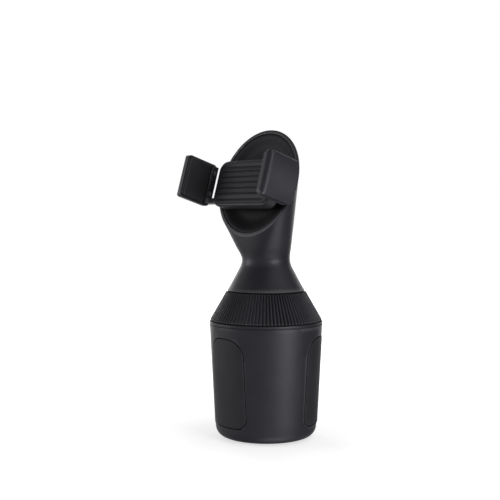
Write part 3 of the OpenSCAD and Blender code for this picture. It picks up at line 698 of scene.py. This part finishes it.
def make_cradle():
    half_w, half_h, corner = 24 * MM, 13.5 * MM, 6 * MM
    front_y, back_y = -9.6 * MM, -5 * MM
    local_slab("cradle_housing", "cradle", "cradle_plastic", ["cradle_front"], HEAD,
               u0=-half_w, u1=half_w, v0=JAW_MID_Z - half_h, v1=JAW_MID_Z + half_h,
               r_low=corner, r_high=corner, edge=1.1 * MM,
               top=lambda u, v, drop: (u, front_y + drop, v), under=lambda u, v: (u, back_y, v))

    inset, pad_front = 1.5 * MM, -10.5 * MM
    rib_pitch, rib_half, rib_deep = 3.2 * MM, 0.45 * MM, 0.5 * MM
    rib_end = half_w - 4.4 * MM

    def pad_top(u, v, drop):
        """The front of the rubber pad: seven shallow channels run across it."""
        near = min(abs(v - JAW_MID_Z - i * rib_pitch) for i in range(-3, 4))
        across = max(abs(u) - rib_end, 0)
        depth = rib_deep * (1 - min(math.hypot(near, across) / rib_half, 1) ** 2) ** 0.6
        return (u, pad_front + max(drop, depth), v)
    local_slab("cradle_rubber_face", "cradle", "pad_rubber", ["face_pad"], HEAD,
               u0=inset - half_w, u1=half_w - inset,
               v0=JAW_MID_Z - half_h + inset, v1=JAW_MID_Z + half_h - inset,
               r_low=corner - inset, r_high=corner - inset, edge=0.55 * MM, top=pad_top,
               under=lambda u, v: (u, front_y + 0.02 * MM, v), u_steps=26, v_steps=56)


def jaw_place(side):
    """The right jaw's own place, or the left one's: half a turn about the pinion's axis."""
    if side == "right":
        return HEAD
    centre = Matrix.Translation((0, 0, JAW_MID_Z))
    return HEAD @ centre @ Matrix.Rotation(math.pi, 4, "Y") @ centre.inverted()


def make_jaw(side):
    place = jaw_place(side)
    inner = GRIP_W / 2 + LINER_T
    outer = inner + JAW_T

    def shell_top(u, v, drop):
        inside = min(u - JAW_FRONT, JAW_EDGE)
        drop = max(1.15 * drop, JAW_EDGE - math.sqrt(JAW_EDGE ** 2 - (JAW_EDGE - inside) ** 2))
        back = min(max((u - JAW_FRONT) / (JAW_REAR - JAW_FRONT), 0), 1)
        high = (v - JAW_MID_Z) / (JAW_H / 2)
        return (outer + JAW_FLARE * back - JAW_BOW * back * high * high - drop, u, v)
    local_slab(side + "_jaw_shell", side + "_jaw", "jaw_plastic", [side + "_jaw"], place,
               u0=JAW_FRONT, u1=JAW_REAR, v0=JAW_MID_Z - JAW_H / 2, v1=JAW_MID_Z + JAW_H / 2,
               r_low=2.4 * MM, r_high=2.4 * MM, edge=1.3 * MM,
               top=shell_top, under=lambda u, v: (inner, u, v), u_steps=10, v_steps=10, corner_steps=6)

    face = GRIP_W / 2
    front, rear = JAW_FRONT + 0.5 * MM, PLATE_Y - 0.1 * MM

    def liner_top(u, v, drop):
        pillow = 0.12 * MM * (((u - (front + rear) / 2) / ((rear - front) / 2)) ** 2
                              + ((v - JAW_MID_Z) / (JAW_H / 2)) ** 2)
        return (face + drop + pillow, u, v)
    local_slab(side + "_jaw_rubber", side + "_jaw", "liner_rubber", [side + "_jaw_liner"], place,
               u0=front, u1=rear, v0=JAW_MID_Z - JAW_H / 2 + 1 * MM, v1=JAW_MID_Z + JAW_H / 2 - 1 * MM,
               r_low=2 * MM, r_high=2 * MM, edge=1.2 * MM, top=liner_top,
               under=lambda u, v: (inner - 0.02 * MM, u, v), u_steps=8, v_steps=10)


# ---- CAD pieces that stay ----

def finish_cad_nodes():
    """Gives each CAD node that still shows its material and softly rounded edges."""
    soft = {"steel": 0.08, "dark_steel": 0.08, "washer_brass": 0.03, "rack_metal": 0.12, "scroll_metal": 0.12,
            "gear_plastic": 0.08}
    slots = {s["node"]: s["material_slot"] for s in frame["record"]["subparts"]}
    for name, obj in frame["nodes"].items():
        slot_name = slots[name]
        obj.data.materials.clear()
        obj.data.materials.append(MATERIALS[slot_name])
        if obj.hide_render:
            continue
        weld = obj.modifiers.new("weld", "WELD")
        weld.merge_threshold = 0.002 * MM
        bevel = obj.modifiers.new("edges", "BEVEL")
        bevel.width = soft.get(slot_name, 0.2) * MM
        bevel.segments = 2
        bevel.limit_method = "ANGLE"
        bevel.angle_limit = math.radians(40)


# ---- Studio ----

def make_stage():
    """A pale paper floor, a little darker close to the object as painted shade round its foot, that no other
    surface reflects.
    """
    size = 6.0
    mesh = bpy.data.meshes.new("floor")
    corners = [(-size, -size, 0), (size, -size, 0), (size, size, 0), (-size, size, 0)]
    mesh.from_pydata(corners, [], [(0, 1, 2, 3)])
    floor = bpy.data.objects.new("floor", mesh)
    bpy.context.scene.collection.objects.link(floor)
    paper = bpy.data.materials.new("paper")
    paper.use_nodes = True
    nodes, links = paper.node_tree.nodes, paper.node_tree.links
    shader = nodes["Principled BSDF"]
    fibre = nodes.new("ShaderNodeTexNoise")
    fibre.inputs["Scale"].default_value = 300
    tone = nodes.new("ShaderNodeValToRGB")
    tone.color_ramp.elements[0].color = (0.86, 0.86, 0.86, 1)
    tone.color_ramp.elements[1].color = (0.9, 0.9, 0.9, 1)
    links.new(fibre.outputs["Fac"], tone.inputs["Fac"])
    links.new(tone.outputs["Color"], shader.inputs["Base Color"])
    shader.inputs["Roughness"].default_value = 0.9
    shader.inputs["Specular IOR Level"].default_value = 0.1
    shader.inputs["Emission Color"].default_value = (1, 1, 1, 1)
    place = nodes.new("ShaderNodeTexCoord")
    reach = nodes.new("ShaderNodeVectorMath")
    reach.operation = "LENGTH"
    # The floor glows less close to the object: a painted darkening round its foot, where the real shadow from the
    # lamps also shows.
    glow = nodes.new("ShaderNodeMapRange")
    glow.inputs["From Min"].default_value = 0.04
    glow.inputs["From Max"].default_value = 0.25
    glow.inputs["To Min"].default_value = 0.6
    glow.inputs["To Max"].default_value = 1.0
    links.new(place.outputs["Object"], reach.inputs[0])
    links.new(reach.outputs["Value"], glow.inputs["Value"])
    links.new(glow.outputs["Result"], shader.inputs["Emission Strength"])
    mesh.materials.append(paper)
    floor.visible_diffuse = False
    floor.visible_glossy = False
    floor.visible_shadow = False


def softbox(name, azimuth, elevation, distance, width, height, power):
    """A soft light that faces the object's middle from a compass direction, in degrees."""
    a, e = math.radians(azimuth), math.radians(elevation)
    target = Vector((0, 0, 0.09))
    way = Vector((math.cos(a) * math.cos(e), math.sin(a) * math.cos(e), math.sin(e)))
    light = bpy.data.lights.new(name, "AREA")
    light.shape = "RECTANGLE"
    light.size = width
    light.size_y = height
    light.energy = power
    obj = bpy.data.objects.new(name, light)
    obj.location = target + distance * way
    obj.rotation_euler = way.to_track_quat("Z", "Y").to_euler()
    obj.visible_camera = False
    bpy.context.scene.collection.objects.link(obj)


def make_lights():
    """A pale room, dim overhead and below, with a soft key, a weak fill, and two panels behind."""
    world = bpy.data.worlds.new("studio")
    bpy.context.scene.world = world
    world.use_nodes = True
    nodes, links = world.node_tree.nodes, world.node_tree.links
    seen = nodes["Background"]
    seen.inputs["Color"].default_value = (1, 1, 1, 1)
    seen.inputs["Strength"].default_value = 1.0
    place = nodes.new("ShaderNodeTexCoord")
    part = nodes.new("ShaderNodeSeparateXYZ")
    links.new(place.outputs["Generated"], part.inputs["Vector"])
    height = nodes.new("ShaderNodeMapRange")
    height.inputs["From Min"].default_value = -1
    links.new(part.outputs["Z"], height.inputs["Value"])
    fall = nodes.new("ShaderNodeValToRGB")
    ramp = fall.color_ramp
    for at, level in ((0.12, 0.2), (0.25, 0.4), (0.42, 0.48), (0.6, 0.45), (0.75, 0.24)):
        ramp.elements.new(at).color = (level, level, level, 1)
    for stop, at, level in ((ramp.elements[0], 0, 0.06), (ramp.elements[-1], 0.9, 0.08)):
        stop.position = at
        stop.color = (level, level, level, 1)
    links.new(height.outputs["Result"], fall.inputs["Fac"])

    def lobe(azimuth, elevation, wide, narrow, low, high):
        """A smooth spot on the sky: low outside the wide angle and high inside the narrow one, in degrees."""
        a, e = math.radians(azimuth), math.radians(elevation)
        near = nodes.new("ShaderNodeVectorMath")
        near.operation = "DOT_PRODUCT"
        near.inputs[1].default_value = (math.cos(a) * math.cos(e), math.sin(a) * math.cos(e), math.sin(e))
        links.new(place.outputs["Generated"], near.inputs[0])
        spot = nodes.new("ShaderNodeMapRange")
        spot.interpolation_type = "SMOOTHSTEP"
        spot.inputs["From Min"].default_value = math.cos(math.radians(wide))
        spot.inputs["From Max"].default_value = math.cos(math.radians(narrow))
        spot.inputs["To Min"].default_value = low
        spot.inputs["To Max"].default_value = high
        links.new(near.outputs["Value"], spot.inputs["Value"])
        return spot.outputs["Result"]
    shade = nodes.new("ShaderNodeMath")
    shade.operation = "MULTIPLY"
    links.new(fall.outputs["Color"], shade.inputs[0])
    links.new(lobe(62, 0, 60, 15, 1, 0.35), shade.inputs[1])
    level = shade.outputs["Value"]
    lobes = ((-5, -60, 34, 6, 1.8), (22, 57, 42, 8, 0.65))
    for azimuth, elevation, wide, narrow, high in lobes:
        glow = nodes.new("ShaderNodeMath")
        glow.operation = "ADD"
        links.new(level, glow.inputs[0])
        links.new(lobe(azimuth, elevation, wide, narrow, 0, high), glow.inputs[1])
        level = glow.outputs["Value"]
    lit = nodes.new("ShaderNodeBackground")
    lit.inputs["Color"].default_value = (1, 1, 1, 1)
    links.new(level, lit.inputs["Strength"])
    ray = nodes.new("ShaderNodeLightPath")
    mix = nodes.new("ShaderNodeMixShader")
    links.new(ray.outputs["Is Camera Ray"], mix.inputs["Fac"])
    links.new(lit.outputs["Background"], mix.inputs[1])
    links.new(seen.outputs["Background"], mix.inputs[2])
    links.new(mix.outputs["Shader"], nodes["World Output"].inputs["Surface"])
    softbox("key", 0, 2, 1.0, 0.5, 0.54, 4.8)
    softbox("fill", -136, 10, 1.1, 0.5, 0.36, 2.7)
    softbox("panel_right", 112, 12, 0.9, 0.4, 0.8, 1.3)
    softbox("panel_left", 162, 12, 0.9, 0.4, 0.8, 2)


def make_camera():
    data = bpy.data.cameras.new("view")
    data.sensor_width = 36
    data.lens = 68.4
    data.clip_start = 0.01
    camera = bpy.data.objects.new("view", data)
    camera.location = (0.3967, -0.3711, 0.1267)
    dip = math.radians(2.1)
    ahead = Vector((-0.742 * math.cos(dip), 0.671 * math.cos(dip), -math.sin(dip)))
    camera.rotation_euler = ahead.to_track_quat("-Z", "Y").to_euler()
    bpy.context.scene.collection.objects.link(camera)
    bpy.context.scene.camera = camera


bpy.context.scene.view_settings.view_transform = "Standard"
make_camera()
make_stage()
make_lights()
make_cup()
for side, angle in PAD_ANGLES.items():
    make_grip_pad(side, angle)
make_dial()
make_neck()
make_dish()
make_cradle()
make_jaw("right")
make_jaw("left")
finish_cad_nodes()
